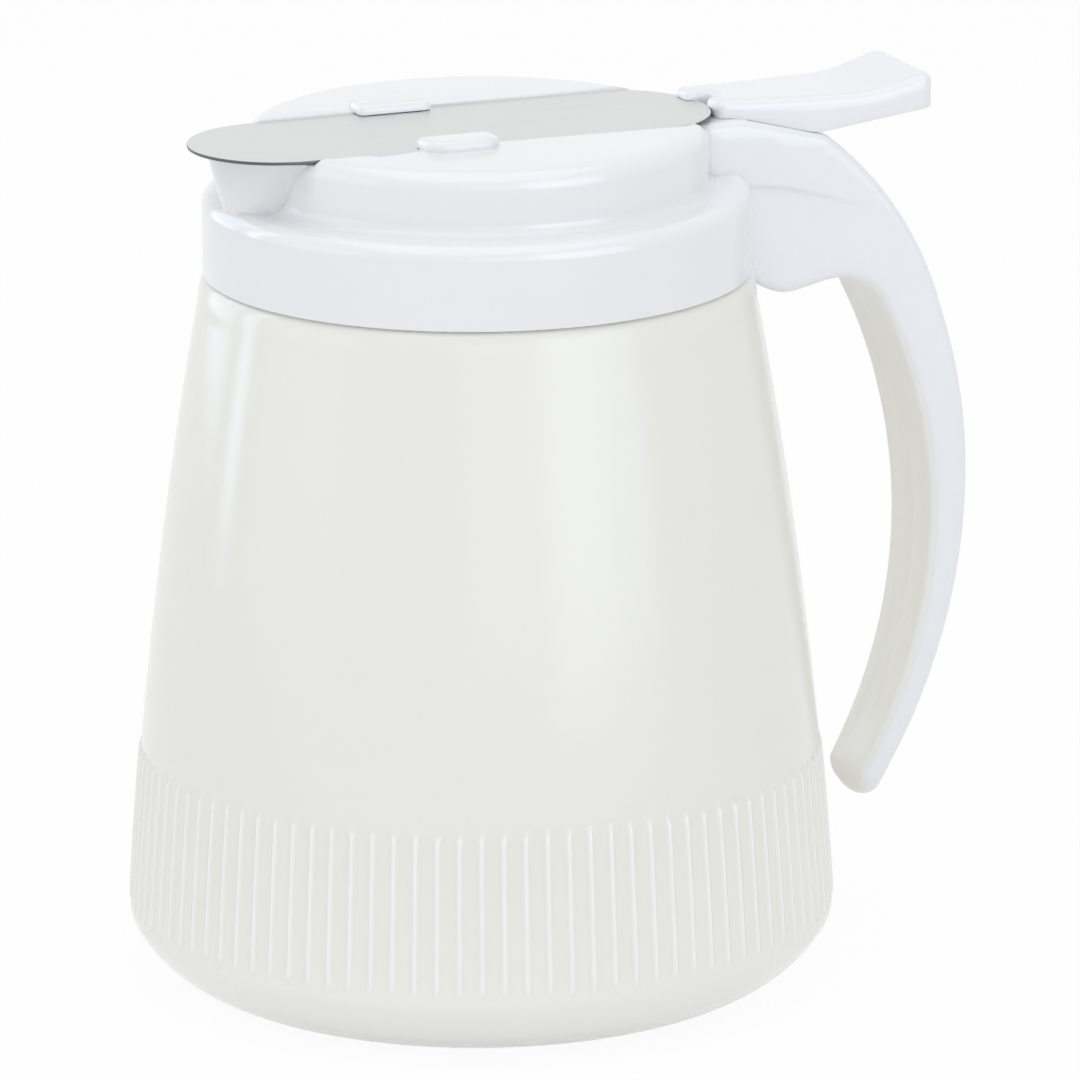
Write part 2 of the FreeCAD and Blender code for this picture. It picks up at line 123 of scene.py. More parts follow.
class Tree:
    """A node tree whose nodes are added one by one."""

    def __init__(self, node_tree):
        self.nodes = node_tree.nodes
        self.links = node_tree.links

    def node(self, kind, settings=None, inputs=None):
        """Add a node: its settings first, then the values or links of its sockets."""
        node = self.nodes.new(kind)
        for key, value in (settings or {}).items():
            setattr(node, key, value)
        for key, value in (inputs or {}).items():
            self.feed(node.inputs[key], value)
        return Outputs(self, node)

    def feed(self, socket, value):
        if isinstance(value, Value):
            self.links.new(value.socket, socket)
        else:
            socket.default_value = value

    def white_rays(self):
        """1 for the rays that see a plain white background, 0 for those that only carry light."""
        rays = self.node("ShaderNodeLightPath")
        looked = rays["Is Camera Ray"].at_least(rays["Is Glossy Ray"])
        return looked.at_least(rays["Is Transmission Ray"])


class Material(Tree):
    """A material made from nothing, with shorthands for its common nodes."""

    def __init__(self, name):
        self.material = bpy.data.materials.new(name)
        self.material.use_nodes = True
        super().__init__(self.material.node_tree)
        self.nodes.clear()
        self.output = self.nodes.new("ShaderNodeOutputMaterial")

    def surface(self, shader):
        """Send a shader to the output and give the finished material."""
        self.feed(self.output.inputs["Surface"], shader)
        return self.material

    def place(self):
        """Object coordinates, in metres."""
        return self.node("ShaderNodeTexCoord")["Object"]

    def facing(self, axis):
        """How far the surface faces along an axis of the object, from -1 to 1."""
        normal = self.node("ShaderNodeTexCoord")["Normal"]
        return self.node("ShaderNodeSeparateXYZ", {}, {"Vector": normal})[axis]

    def noise(self, scale, detail, roughness, stretch=(1.0, 1.0, 1.0)):
        """A cloudy pattern from 0 to 1, fixed to the object."""
        place = self.node(
            "ShaderNodeMapping", {}, {"Vector": self.place(), "Scale": stretch})["Vector"]
        return self.node("ShaderNodeTexNoise", {"noise_dimensions": "3D"}, {
            "Vector": place, "Scale": scale, "Detail": detail, "Roughness": roughness})["Fac"]

    def blend(self, factor, first, second):
        """One colour mixed into another."""
        return self.node("ShaderNodeMix", {"data_type": "RGBA"}, {
            MIX_FACTOR: factor, MIX_FIRST: first, MIX_SECOND: second})[MIX_RESULT]

    def bump(self, height, strength):
        """A normal roughened by a fine height pattern."""
        return self.node("ShaderNodeBump", {}, {
            "Height": height, "Distance": GRAIN_DEPTH, "Strength": strength})["Normal"]


def shade(colour, factor):
    """A colour made lighter or darker, with its alpha kept."""
    return (*(min(1.0, part * factor) for part in colour[:3]), 1.0)


def opaque(colour):
    """A colour with full alpha."""
    return (*colour[:3], 1.0)


# ---- materials ----------------------------------------------------------------------------------
GRAIN_DEPTH = 0.03 * MM
# Bounds of the painted shade on the spout, under the slide.
SPOUT_CENTRE = -37.0 * MM
SPOUT_INSIDE, SPOUT_OUTSIDE = 16.5 * MM, 20.0 * MM  # distances from its middle between which grey fades
SPOUT_FOOT, SPOUT_MOUTH = 154.0 * MM, 167.5 * MM
SPOUT_NOSE_SIDE, SPOUT_LID_SIDE = -44.0 * MM, -28.0 * MM
SHADE_GREY = (0.12, 0.12, 0.1, 1.0)
COAT = 0.4


def milky_plastic(colours):
    """The jar's milky plastic: faintly clouded, glossy, warmer and lighter near the foot, where the
    lighter colour is painted light from the floor, with a painted highlight along the rib crests.
    """
    m = Material("milky_plastic")
    cloud = m.noise(22.0, 3.0, 0.55)
    grain = m.noise(2600.0, 2.0, 0.6)
    height = m.node("ShaderNodeSeparateXYZ", {}, {"Vector": m.place()})["Z"]
    # warmer tone near the foot, with painted light: the foot's colour is lighter, standing in for light
    # bounced from the floor
    foot_tone_and_light = (1 - height.ramp(0.0, 0.05)) * 0.5
    base = m.blend(foot_tone_and_light, opaque(colours.jar), opaque(colours.jar_foot_tone_and_light))
    base = m.blend(cloud * 0.25, base, shade(colours.jar, 0.97))
    # painted highlight: the rib crests are lightened
    crest_highlight = m.node("ShaderNodeAttribute", {"attribute_name": "crest_highlight"})["Fac"]
    base = m.blend(crest_highlight * 0.65, base, opaque(colours.crest_highlight))
    shader = m.node("ShaderNodeBsdfPrincipled", {}, {
        "Base Color": base,
        "Roughness": 0.15 + cloud * 0.05,
        "Normal": m.bump(grain, 0.2),
        "IOR": 1.5,
        "Subsurface Weight": 0.2,
        "Subsurface Radius": (1.0, 1.0, 0.9),
        "Subsurface Scale": 0.004,
    })
    return m.surface(shader["BSDF"])


def spout_painted_shade(m):
    """Painted shade on the spout where the slide's shadow falls: most at its mouth, under the slide,
    and towards the lid; faces that look up are left out.
    """
    place = m.node("ShaderNodeSeparateXYZ", {}, {"Vector": m.place()})
    out, side = place["X"] - SPOUT_CENTRE, place["Y"]
    near = 1 - (out * out + side * side).ramp(SPOUT_INSIDE ** 2, SPOUT_OUTSIDE ** 2)
    toward_lid = place["X"].ramp(SPOUT_NOSE_SIDE, SPOUT_LID_SIDE) * 0.32 + 0.14
    wall = 1 - m.facing("Z").ramp(0.4, 0.8)
    return near * wall * place["Z"].ramp(SPOUT_FOOT, SPOUT_MOUTH) * toward_lid


def moulded_plastic(name, colour, roughness, inner=None, painted_shade=None):
    """Smooth white moulded plastic with a trace of mould texture and handling marks.

    inner is a lighter, warmer colour painted as light on the faces that look towards the jar, if given;
    the last argument gives the share of painted shade, a grey, at each place."""
    m = Material(name)
    cloud = m.noise(35.0, 3.0, 0.5)
    grain = m.noise(1900.0, 3.0, 0.6)
    wipe = m.noise(140.0, 4.0, 0.6, (1.0, 1.0, 0.25)).ramp(0.5, 0.75)
    base = m.blend(cloud * 0.3, opaque(colour), shade(colour, 0.97))
    if painted_shade:
        # painted shade: grey mixed in where the given mask asks
        base = m.blend(painted_shade(m), base, SHADE_GREY)
    rough = roughness + cloud * 0.06 + wipe * 0.04
    coat = COAT
    if inner:
        # painted light: faces that look towards the jar get a lighter, warmer colour
        toward_jar_painted_light = (m.facing("X") * -1).ramp(0.5, 0.9)
        base = m.blend(toward_jar_painted_light, base, opaque(inner))
        rough = rough + toward_jar_painted_light * 0.35
        coat = COAT - toward_jar_painted_light * COAT
    shader = m.node("ShaderNodeBsdfPrincipled", {}, {
        "Base Color": base,
        "Roughness": rough,
        "Normal": m.bump(grain, 0.3),
        "IOR": 1.5,
        "Coat Weight": coat,
        "Coat Roughness": 0.07,
    })
    return m.surface(shader["BSDF"])


def satin_steel(colours):
    """Stainless sheet, rolled along its length, with fine streaks, and its edge faces darkened as
    painted shade.
    """
    m = Material("satin_steel")
    streak = m.noise(900.0, 4.0, 0.65, (0.04, 1.0, 1.0))
    cloud = m.noise(60.0, 2.0, 0.5, (0.5, 1.0, 1.0))
    base = m.blend(streak * 0.35, opaque(colours.steel), shade(colours.steel, 0.93))
    up = m.facing("Z")
    # painted shade: the sheet's edge faces, which look sideways, are darkened to a fifth of the steel's
    # colour
    base = m.blend(1 - (up * up).ramp(0.15, 0.8), base, shade(colours.steel, 0.2))
    shader = m.node("ShaderNodeBsdfPrincipled", {}, {
        "Base Color": base,
        "Metallic": 1.0,
        "Roughness": 0.3 + streak * 0.1 + cloud * 0.05,
        "Normal": m.bump(streak, 0.25),
    })
    return m.surface(shader["BSDF"])


def lit_white(name, colour, own_light):
    """A white ground that the camera sees white, with the object's shadow kept."""
    m = Material(name)
    plain = m.node("ShaderNodeBsdfDiffuse", {}, {"Color": opaque(colour)})["BSDF"]
    glow = m.node("ShaderNodeEmission", {}, {"Color": WHITE, "Strength": 1.0})["Emission"]
    share = m.white_rays() * own_light
    mixed = m.node("ShaderNodeMixShader", {}, {0: share, 1: plain, 2: glow})["Shader"]
    return m.surface(mixed)


# ---- mesh helpers -------------------------------------------------------------------------------
def new_piece(name, verts, faces, material):
    """An object made from points and faces, shaded smooth."""
    mesh = bpy.data.meshes.new(name)
    mesh.from_pydata([tuple(v) for v in verts], [], [tuple(f) for f in faces])
    mesh.update()
    mesh.materials.append(material)
    for polygon in mesh.polygons:
        polygon.use_smooth = True
    piece = bpy.data.objects.new(name, mesh)
    bpy.context.scene.collection.objects.link(piece)
    return piece


def arc(start, end, radius, steps):
    """Points on the short arc from start to end; a positive radius bulges to the right of travel."""
    start, end = np.array(start, float), np.array(end, float)
    run = end - start
    reach = math.sqrt(max(0.0, radius * radius / run.dot(run) - 0.25)) * (1 if radius > 0 else -1)
    centre = (start + end) / 2 + np.array((-run[1], run[0])) * reach
    first = math.atan2(*(start - centre)[::-1])
    turn = math.atan2(*(end - centre)[::-1]) - first
    turn = (turn + math.pi) % (2 * math.pi) - math.pi
    angles = [first + turn * t for t in np.linspace(0, 1, steps + 1)]
    return [tuple(centre + abs(radius) * np.array((math.cos(a), math.sin(a)))) for a in angles]


def corner(before, at, after, steps):
    """Points that turn a corner smoothly."""
    before, at, after = (np.array(p, float) for p in (before, at, after))
    return [
        tuple((1 - t) ** 2 * before + 2 * t * (1 - t) * at + t * t * after)
        for t in np.linspace(0, 1, steps + 1)]


def joined(*runs):
    """Several runs of points made one, with doubles left out."""
    points = []
    for run in runs:
        for point in run:
            if not points or math.dist(points[-1], point) > 1e-5:
                points.append(tuple(point))
    return points


def smooth_step(value, low, high):
    """0 below low, 1 above high, smooth between, for numbers and arrays."""
    t = np.clip((value - low) / (high - low), 0.0, 1.0)
    return t * t * (3 - 2 * t)


def inset_ring(points, amount):
    """The closed outline moved inwards by an amount, vertex by vertex."""
    points = np.array(points)
    after = np.roll(points, -1, axis=0) - points
    after /= np.linalg.norm(after, axis=1, keepdims=True)
    before = np.roll(after, 1, axis=0)
    inward = np.stack((-(after + before)[:, 1], (after + before)[:, 0]), axis=1)
    share = np.maximum(0.35, np.einsum("ij,ij->i", after + before, after + before) / 4)
    moved = points + inward / 2 / share[:, None] * amount
    if amount <= 0:
        return moved
    run = np.roll(points, -1, axis=0) - points
    along = np.einsum("ijk,jk->ij", moved[:, None] - points[None], run)
    along /= np.einsum("ij,ij->i", run, run)
    nearest = points[None] + np.clip(along, 0, 1)[..., None] * run[None]
    clear = np.linalg.norm(moved[:, None] - nearest, axis=2).min(axis=1) > amount * 0.9995
    good = np.flatnonzero(clear)
    count = len(points)
    steps = (good[None] - np.arange(count)[:, None] + count // 2) % count - count // 2
    return moved[good[np.abs(steps).argmin(axis=1)]]


def within(points, ring):
    """Which points lie inside a closed ring."""
    inside = np.zeros(len(points), bool)
    for (ax, ay), (bx, by) in zip(ring, np.roll(ring, -1, axis=0)):
        if ay == by:
            continue
        crossing = ((ay > points[:, 1]) != (by > points[:, 1]))
        inside ^= crossing & (points[:, 0] < (bx - ax) * (points[:, 1] - ay) / (by - ay) + ax)
    return inside


def cap_mesh(ring, spacing, extra=()):
    """Triangles that fill a ring, with a grid of points inside it; the ring's points come first."""
    low, high = ring.min(axis=0), ring.max(axis=0)
    grid = np.stack(np.meshgrid(
        np.arange(low[0], high[0], spacing), np.arange(low[1], high[1], spacing)), -1).reshape(-1, 2)
    if len(extra):
        extra = np.array(extra)
        far = np.linalg.norm(grid[:, None] - extra[None], axis=2).min(axis=1) > spacing * 0.5
        grid = np.concatenate((grid[far], extra))
    grid = grid[within(grid, ring)]
    gap = np.linalg.norm(grid[:, None] - ring[None], axis=2).min(axis=1)
    grid = grid[gap > spacing * 0.25]
    points = [Vector(p) for p in np.concatenate((ring, grid))]
    _, _, faces, origin, _, _ = delaunay_2d_cdt(points, [], [list(range(len(ring)))], 1, 1e-9)
    if not all(origin):
        raise RuntimeError("an outline crosses itself")
    back = [source[0] for source in origin]
    return grid, [[back[index] for index in face] for face in faces]


def rounded_slab(name, material, outline, place, low, high, edge_low, edge_high, spacing,
                 across=1, relief=None, extra=()):
    """A closed slab: an outline, two faces whose height may vary, rounded edges between.

    place turns (a, b, c) into x, y, z; low and high give c for arrays of a and b; relief moves the wall
    inwards by an amount for (outline index, share of the height between the faces)."""
    outline = np.array(outline)
    outline = outline[np.linalg.norm(outline - np.roll(outline, 1, axis=0), axis=1) > 1e-6]
    x, y = outline.T
    if np.sum(x * np.roll(y, -1) - np.roll(x, -1) * y) < 0:
        outline = outline[::-1]
    bends = [math.radians(angle) for angle in (90, 67.5, 45, 22.5, 0)]
    hair = 0.001 * MM
    rings = []
    for bend in bends:
        ring = inset_ring(outline, edge_low * (1 - math.cos(bend)))
        rings.append((ring, low(*ring.T) + edge_low * (1 - math.sin(bend))))
    for share in np.linspace(0, 1, across + 1)[1:-1]:
        bottom, top = low(*outline.T) + edge_low, high(*outline.T) - edge_high
        amount = relief(outline, share) if relief else 0.0
        inward = (inset_ring(outline, hair) - outline) / hair
        wall = outline + inward * np.reshape(amount, (-1, 1))
        rings.append((wall, bottom + (top - bottom) * share))
    for bend in reversed(bends):
        ring = inset_ring(outline, edge_high * (1 - math.cos(bend)))
        rings.append((ring, high(*ring.T) - edge_high * (1 - math.sin(bend))))
    count = len(outline)
    points, faces = [], []
    for ring, depth in rings:
        points += [(*ab, c) for ab, c in zip(ring, depth)]
    for row in range(len(rings) - 1):
        for i in range(count):
            j = (i + 1) % count
            a, b = row * count, (row + 1) * count
            faces.append((a + i, a + j, b + j, b + i))
    for (ring, _), face, first, turn in (
            (rings[0], low, 0, True), (rings[-1], high, (len(rings) - 1) * count, False)):
        grid, triangles = cap_mesh(ring, spacing, extra)
        start = len(points) - count
        points += [(*ab, c) for ab, c in zip(grid, face(*grid.T))]
        for triangle in triangles:
            ids = [first + i if i < count else start + i for i in triangle]
            faces.append(tuple(reversed(ids)) if turn else tuple(ids))
    piece = new_piece(name, [place(*point) for point in points], faces, material)
    shape = bmesh.new()
    shape.from_mesh(piece.data)
    bmesh.ops.remove_doubles(shape, verts=shape.verts, dist=WELD)
    bmesh.ops.dissolve_degenerate(shape, edges=shape.edges, dist=WELD)
    bmesh.ops.recalc_face_normals(shape, faces=shape.faces)
    shape.to_mesh(piece.data)
    shape.free()
    return piece


def thinned(points, spacing):
    """Points along a closed line no farther apart than a spacing."""
    result = []
    for start, end in zip(points, points[1:] + points[:1]):
        start, end = np.array(start), np.array(end)
        count = max(1, math.ceil(np.linalg.norm(end - start) / spacing))
        result += [tuple(start + (end - start) * step / count) for step in range(count)]
    return result


SHARP_ANGLE = 35.0


def cad_copy(node, name, material):
    """A welded copy of a CAD node, shaded smooth except at sharp edges."""
    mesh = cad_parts[node].data.copy()
    mesh.name = name
    shape = bmesh.new()
    shape.from_mesh(mesh)
    bmesh.ops.remove_doubles(shape, verts=shape.verts, dist=1e-6)
    shape.to_mesh(mesh)
    shape.free()
    mesh.materials.clear()
    mesh.materials.append(material)
    mesh.shade_smooth()
    mesh.set_sharp_from_angle(angle=math.radians(SHARP_ANGLE))
    piece = bpy.data.objects.new(name, mesh)
    bpy.context.scene.collection.objects.link(piece)
    weight = piece.modifiers.new("even_faces", "WEIGHTED_NORMAL")
    weight.keep_sharp = True
    weight.weight = 100
    return piece


# ---- settings -----------------------------------------------------------------------------------
def length(name, description, default):
    """A size in metres that the user may change."""
    return bpy.props.FloatProperty(
        name=name, description=description, default=default, min=0.0, unit="LENGTH", precision=5)


def colour(name, description, default):
    """A colour that the user may change."""
    return bpy.props.FloatVectorProperty(
        name=name, description=description, default=default, size=3, min=0.0, max=1.0, subtype="COLOR")


class JarSettings(bpy.types.PropertyGroup):
    """Sizes of the jar"""

    foot_radius: length("Foot radius", "Radius of the flat the jar stands on", 51.5 * MM)
    base_radius: length("Base radius", "Radius where heel and side meet", 68.5 * MM)
    heel_height: length("Heel height", "Height of the widest place", 13.0 * MM)
    heel_arc: length("Heel arc", "Radius of the heel's curve", 24.4 * MM)
    side_arc: length("Side arc", "Radius of the side's slight bulge", 1019.0 * MM)
    shoulder_radius: length("Shoulder radius", "Radius where the side ends", 53.8 * MM)
    shoulder_height: length("Shoulder height", "Height where the side ends", 134.2 * MM)
    shoulder_arc: length("Shoulder arc", "Radius of the shoulder's curve", 5.6 * MM)
    shoulder_top: length("Shoulder top", "Height of the shoulder under the collar", 140.1 * MM)
    neck_radius: length("Neck radius", "Outer radius of the neck", 48.7 * MM)
    neck_wall: length("Neck wall", "Thickness of the neck", 2.5 * MM)
    wall: length("Wall", "Thickness of the jar's wall", 2.2 * MM)
    floor: length("Floor", "Thickness of the jar's floor", 2.4 * MM)
    rib_low: length("Rib low end", "Height where the ribs begin", 15.3 * MM)
    rib_high: length("Rib high end", "Height where the ribs end", 46.4 * MM)
    rib_proud: length("Rib height", "How far a rib stands proud", 0.42 * MM)
    flute_depth: length("Flute depth", "How deep the flutes between ribs are", 0.12 * MM)
    rib_count: bpy.props.IntProperty(
        name="Ribs", description="Number of ribs round the jar", default=100, min=8, max=400)


class TabSettings(bpy.types.PropertyGroup):
    """Sizes of the guide tabs"""

    start: bpy.props.FloatProperty(
        name="Start", description="Where the tabs begin along the slide", default=-18.3 * MM,
        unit="LENGTH", precision=5)
    length: length("Length", "Length of a tab along the slide", 15.0 * MM)
    width: length("Width", "Width of a tab across the slide", 8.7 * MM)
    lap: length("Lap", "How far a tab reaches over the slide", 3.1 * MM)
    thickness: length("Thickness", "Height of a tab over the slide", 2.05 * MM)
    edge: length("Edge rounding", "Radius of a tab's top edges", 1.35 * MM)


class HandleSettings(bpy.types.PropertyGroup):
    """Sizes of the handle"""

    half_width: length("Half width", "Half the handle's width at its root", 11.5 * MM)
    end_half: length("Half width at the end", "Half the handle's width at its free end", 8.5 * MM)
    end_bulge: length("End bulge", "How far the middle of the free end hangs below its sides", 2.2 * MM)
    taper_height: length("Taper height", "Height below which the handle narrows", 105.0 * MM)
    edge: length("Edge rounding", "Radius of the long edges", 1.7 * MM)
    crease: length("Crease", "How far the upper block stands proud of the root", 0.6 * MM)
    trough: length("Grip trough", "Depth of the hollow in the grip face", 1.3 * MM)


class LeverSettings(bpy.types.PropertyGroup):
    """Sizes of the thumb lever"""

    front_half: length("Half width in front", "Half the lever's width at its prongs", 8.0 * MM)
    notch_width: length("Notch width", "Width of the notch between the prongs", 5.2 * MM)
    notch_depth: length("Notch depth", "Depth of the notch between the prongs", 4.6 * MM)
    near_setback: length("Prong setback", "How much shorter one prong is", 1.9 * MM)
    edge: length("Edge rounding", "Radius of the top edges", 1.5 * MM)


class FinishSettings(bpy.types.PropertyGroup):
    """Colours of the pieces"""

    jar: colour("Jar", "Milky plastic of the jar", (0.848, 0.838, 0.795))
    # Warmer tone of the foot, made lighter as painted light from the floor
    jar_foot_tone_and_light: colour("Jar near its foot", "Milky plastic where the wall is thick", (0.925, 0.915, 0.875))
    # Painted highlight colour along the rib crests
    crest_highlight: colour("Rib crests", "Plastic along the crests of the ribs", (0.96, 0.965, 0.955))
    lid: colour("Lid", "White plastic of the lid", (0.84, 0.85, 0.865))
    handle: colour("Handle", "White plastic of the handle", (0.85, 0.865, 0.895))
    # Painted light on the handle's faces that look towards the jar
    grip: colour("Grip face", "Plastic of the handle where it faces the jar", (0.97, 0.955, 0.915))
    lever: colour("Lever", "White plastic of the thumb lever", (0.84, 0.855, 0.88))
    steel: colour("Steel", "Stainless sheet of the slide", (0.685, 0.693, 0.69))
    gloss_roughness: bpy.props.FloatProperty(
        name="Gloss roughness", description="Roughness of the white plastic", default=0.16,
        min=0.0, max=1.0, subtype="FACTOR")


class StageSettings(bpy.types.PropertyGroup):
    """The ground, the light and the lens"""

    ground_size: length("Ground", "Width of the ground", 6.0)
    ground: colour("Ground colour", "Colour of the ground", (0.95, 0.95, 0.95))
    shadow: bpy.props.FloatProperty(
        name="Shadow", description="How much of the object's shadow the ground shows", default=0.06,
        min=0.0, max=1.0, subtype="FACTOR")
    world: bpy.props.FloatProperty(
        name="Surrounding light", description="Strength of the even light", default=0.71, min=0.0)
    gloss: bpy.props.FloatProperty(
        name="Gloss panels", description="Brightness of the side panels that only gloss shows",
        default=5.6, min=0.0)
    gloss_tint: colour("Gloss tint", "Colour of those panels", (0.66, 0.82, 1.0))
    fill: bpy.props.FloatProperty(
        name="Front fill", description="Power of the low softbox in front", default=2.6, min=0.0,
        subtype="POWER")
    left_fill: bpy.props.FloatProperty(
        name="Left fill", description="Power of the softbox at the spout's side", default=1.3, min=0.0,
        subtype="POWER")
    top: bpy.props.FloatProperty(
        name="Top light", description="Power of the softbox overhead", default=3.3, min=0.0,
        subtype="POWER")
    lens: bpy.props.FloatProperty(
        name="Lens", description="Focal length of the camera in millimetres", default=300.0, min=1.0)


# ---- jar ----------------------------------------------------------------------------------------
def jar_profile(s):
    """The jar's outer line from the foot's centre to the rim, and its inner line back."""
    foot = (s.foot_radius, 0.0)
    heel = (s.base_radius, s.heel_height)
    shoulder = (s.shoulder_radius, s.shoulder_height)
    rim = JAR_TOP
    bevel = 0.3 * MM
    neck_inner = s.neck_radius - s.neck_wall
    heel_run = arc(foot, heel, s.heel_arc, 14)
    side_run = arc(heel, shoulder, s.side_arc, 120)
    ribs_end = s.rib_high + 1.2 * MM
    ribs = [p for p in side_run if s.rib_low - 0.7 * MM < p[1] < ribs_end]
    plain = [p for p in side_run if p[1] >= ribs_end][::7]  # the smooth wall needs fewer rows
    outer = joined(
        [(0.0, 0.0), (s.foot_radius * 0.55, 0.0)],
        heel_run[:-1],
        corner(heel_run[-2], heel, side_run[1], 4),
        ribs, plain,
        corner(shoulder, (s.shoulder_radius - 0.5 * MM, s.shoulder_top + 0.6 * MM),
               (s.neck_radius + 2.2 * MM, s.shoulder_top + 0.1 * MM), 9),
        [(s.neck_radius, height) for height in (s.shoulder_top, s.shoulder_top + 1 * MM, rim - bevel)],
        [(s.neck_radius - bevel, rim)])
    w = s.wall
    inner = joined(
        [(neck_inner + bevel, rim), (neck_inner, rim - bevel), (neck_inner, s.shoulder_top - w)],
        arc((neck_inner, s.shoulder_top - w), (shoulder[0] - w, shoulder[1]), -s.shoulder_arc, 4),
        arc((shoulder[0] - w, shoulder[1]), (heel[0] - w, heel[1]), -s.side_arc, 4),
        arc((heel[0] - w, heel[1]), (s.foot_radius, s.floor), -(s.heel_arc - w), 4),
        [(0.0, s.floor)])
    return outer, inner


def rib_relief(s, across, height):
    """How far the outer wall stands proud: across is metres from a rib's middle."""
    pitch = 2 * math.pi * s.base_radius / s.rib_count
    half_flute = pitch / 2 - 0.75 * MM
    ends = smooth_step(height, s.rib_low, s.rib_low + 1.0 * MM)
    ends = ends * (1 - smooth_step(height, s.rib_high - 0.9 * MM, s.rib_high))
    ridge = (1 - smooth_step(np.abs(across), 0.18 * MM, 0.72 * MM)) * ends
    beside = pitch / 2 - np.abs(across)
    below = np.maximum(0.0, s.rib_low + half_flute - height)
    above = np.maximum(0.0, height - (s.rib_high - half_flute * 0.6))
    inside = half_flute - np.sqrt(beside ** 2 + below ** 2 + above ** 2)
    flute = smooth_step(inside, 0.0, 0.45 * MM)
    return s.rib_proud * ridge - s.flute_depth * flute


def jar_cell(s, material):
    """One rib's slice of the jar, outer and inner wall."""
    outer, inner = jar_profile(s)
    step = 2 * math.pi / s.rib_count
    half = np.array((0.0, 0.05, 0.1, 0.17, 0.35, 0.5))  # shares of a slice, closest at the crest
    shares = np.concatenate((-half[:0:-1], half))
    pitch = 2 * math.pi * s.base_radius / s.rib_count
    verts, faces = [], []
    for index, (radius, height) in enumerate(outer + inner):
        lift = np.zeros(len(shares))
        in_band = s.rib_low - 1 * MM < height < s.rib_high + 1 * MM
        if index < len(outer) and in_band and radius > s.base_radius * 0.85:
            lift = rib_relief(s, shares * pitch, np.full(len(shares), height))
        for share, extra in zip(shares, lift):
            angle = share * step
            out = radius + extra
            verts.append((out * math.cos(angle), out * math.sin(angle), height))
    across = len(shares)
    for row in range(len(outer) + len(inner) - 1):
        for column in range(across - 1):
            a = row * across + column
            faces.append((a, a + 1, a + across + 1, a + across))
    return new_piece("jar_cell", verts, faces, material)


def ring_tree(name, count, weld):
    """Geometry nodes: turn copies of a slice round the Z axis and weld them."""
    group = bpy.data.node_groups.new(name, "GeometryNodeTree")
    for label, kind, default in (
            ("Slice", "Object", None), ("Count", "Int", count),
            ("Weld", "Float", weld), ("Material", "Material", None)):
        socket = group.interface.new_socket(label, in_out="INPUT", socket_type="NodeSocket" + kind)
        if default is not None:
            socket.default_value = default
    group.interface.new_socket("Geometry", in_out="OUTPUT", socket_type="NodeSocketGeometry")
    tree = Tree(group)
    given = tree.node("NodeGroupInput")
    points = tree.node(
        "GeometryNodeMeshLine", {}, {"Offset": (0.0, 0.0, 0.0), "Count": given["Count"]})["Mesh"]
    piece = tree.node("GeometryNodeObjectInfo", {}, {"Object": given["Slice"]})["Geometry"]
    turn = tree.node("GeometryNodeInputIndex")["Index"] / given["Count"] * (2 * math.pi)
    spin = tree.node("ShaderNodeCombineXYZ", {}, {"Z": turn})["Vector"]
    copies = tree.node("GeometryNodeInstanceOnPoints", {}, {
        "Points": points, "Instance": piece, "Rotation": spin})["Instances"]
    real = tree.node("GeometryNodeRealizeInstances", {}, {"Geometry": copies})["Geometry"]
    whole = tree.node(
        "GeometryNodeMergeByDistance", {}, {"Geometry": real, "Distance": given["Weld"]})["Geometry"]
    painted = tree.node(
        "GeometryNodeSetMaterial", {}, {"Geometry": whole, "Material": given["Material"]})["Geometry"]
    tree.node("NodeGroupOutput", {}, {"Geometry": painted})
    return group


def evaluated(name, tree, values):
    """Run a geometry tree with its inputs set by identifier, and keep the result as a plain mesh."""
    host = bpy.data.objects.new(name, bpy.data.meshes.new(name + "_host"))
    bpy.context.scene.collection.objects.link(host)
    modifier = host.modifiers.new("shape", "NODES")
    modifier.node_group = tree
    for item in tree.interface.items_tree:
        if item.in_out == "INPUT" and item.name in values:
            modifier[item.identifier] = values[item.name]
    depsgraph = bpy.context.evaluated_depsgraph_get()
    depsgraph.update()
    mesh = bpy.data.meshes.new_from_object(host.evaluated_get(depsgraph))
    mesh.name = name
    host.modifiers.remove(modifier)
    host.data = mesh
    return host


def mark_crest_highlight(jar, s):
    """Store on each point how near it is to a rib's top, for the painted highlight along the crests."""
    points = np.empty(len(jar.data.vertices) * 3)
    jar.data.vertices.foreach_get("co", points)
    x, y, z = points.reshape(-1, 3).T
    turn = np.arctan2(y, x) * s.rib_count / (2 * math.pi)
    across = (turn - np.round(turn)) * 2 * math.pi * s.base_radius / s.rib_count
    crest_highlight = np.clip(rib_relief(s, across, z) / s.rib_proud, 0.0, 1.0)
    mark = jar.data.attributes.new("crest_highlight", "FLOAT", "POINT")
    mark.data.foreach_set("value", crest_highlight ** 1.5)


class SYRUP_OT_jar(bpy.types.Operator):
    """Build the ribbed milky jar"""

    bl_idname = "syrup.jar"
    bl_label = "Jar"

    def execute(self, context):
        settings = context.scene.syrup_jar
        material = milky_plastic(context.scene.syrup_finish)
        cell = jar_cell(settings, material)
        tree = ring_tree("ring_of_ribs", settings.rib_count, WELD)
        jar = evaluated("ribbed_jar", tree, {
            "Slice": cell, "Count": settings.rib_count, "Weld": WELD, "Material": material})
        bpy.data.objects.remove(cell)
        if not jar.data.polygons:
            raise RuntimeError("the jar came out empty")
        jar.data.shade_smooth()
        mark_crest_highlight(jar, settings)
        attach(jar, "server")
        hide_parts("jar")
        return {"FINISHED"}


# ---- lid, handle, slide, lever ------------------------------------------------------------------
class SYRUP_OT_lid(bpy.types.Operator):
    """Build the screw lid with its spout"""

    bl_idname = "syrup.lid"
    bl_label = "Lid"

    def execute(self, context):
        finish = context.scene.syrup_finish
        # the lid's spout gets painted shade under the slide
        material = moulded_plastic("lid_plastic", finish.lid, finish.gloss_roughness, painted_shade=spout_painted_shade)
        lid = cad_copy("lid", "spout_lid", material)
        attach(lid, "server")
        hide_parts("lid")
        return {"FINISHED"}


